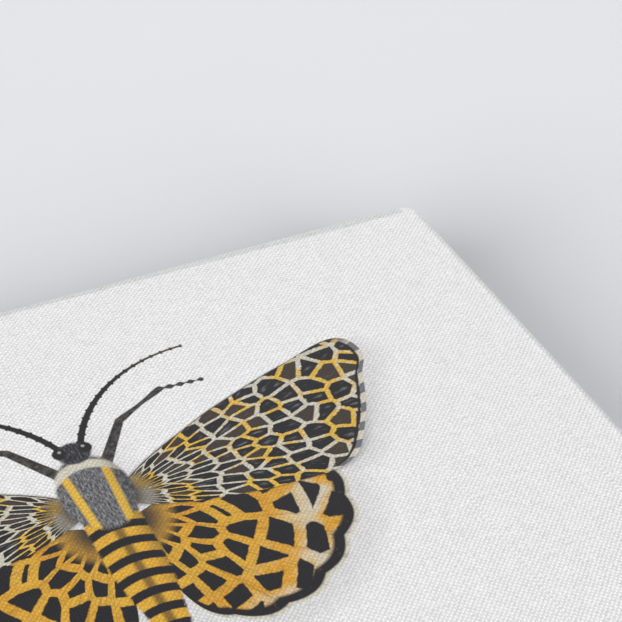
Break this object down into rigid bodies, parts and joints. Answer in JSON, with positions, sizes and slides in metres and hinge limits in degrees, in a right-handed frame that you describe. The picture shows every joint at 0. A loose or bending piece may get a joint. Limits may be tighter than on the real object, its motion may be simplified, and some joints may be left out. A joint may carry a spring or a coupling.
{
  "type": "stretched canvas print",
  "caption": "Gallery-wrapped canvas print of a spotted moth on white, stretched over deep mitred pine bars, with folded corners, wedge keys and a sawtooth hanger.",
  "frame": {"origin": "under the middle of the back, on the plane that the folded back corners rest on", "axes": "+Z out of the picture's face, +Y towards the picture's top edge, +X along the long side towards the picture's right"},
  "size_m": [0.3, 0.2, 0.038],
  "materials": {
    "canvas": "white primed plain weave, matt",
    "pine": "planed, bare",
    "key_wood": "sawn, bare",
    "staple_steel": "galvanised wire",
    "zinc": "zinc plated"
  },
  "bodies": {
    "root": {"bar_bottom": "pine", "bar_left": "pine", "bar_right": "pine", "bar_top": "pine", "canvas": "canvas", "hanger": "zinc", "hanger_nail_left": "zinc", "hanger_nail_right": "zinc", "key_bottom_left_long": "key_wood", "key_bottom_left_short": "key_wood", "key_bottom_right_long": "key_wood", "key_bottom_right_short": "key_wood", "key_top_left_long": "key_wood", "key_top_left_short": "key_wood", "key_top_right_long": "key_wood", "key_top_right_short": "key_wood", "staple_bottom_1": "staple_steel", "staple_bottom_2": "staple_steel", "staple_bottom_3": "staple_steel", "staple_bottom_4": "staple_steel", "staple_bottom_5": "staple_steel", "staple_corner_bottom_left": "staple_steel", "staple_corner_bottom_right": "staple_steel", "staple_corner_top_left": "staple_steel", "staple_corner_top_right": "staple_steel", "staple_left_1": "staple_steel", "staple_left_2": "staple_steel", "staple_left_3": "staple_steel", "staple_right_1": "staple_steel", "staple_right_2": "staple_steel", "staple_right_3": "staple_steel", "staple_top_1": "staple_steel", "staple_top_2": "staple_steel", "staple_top_3": "staple_steel", "staple_top_4": "staple_steel", "staple_top_5": "staple_steel"}
  },
  "joints": []
}
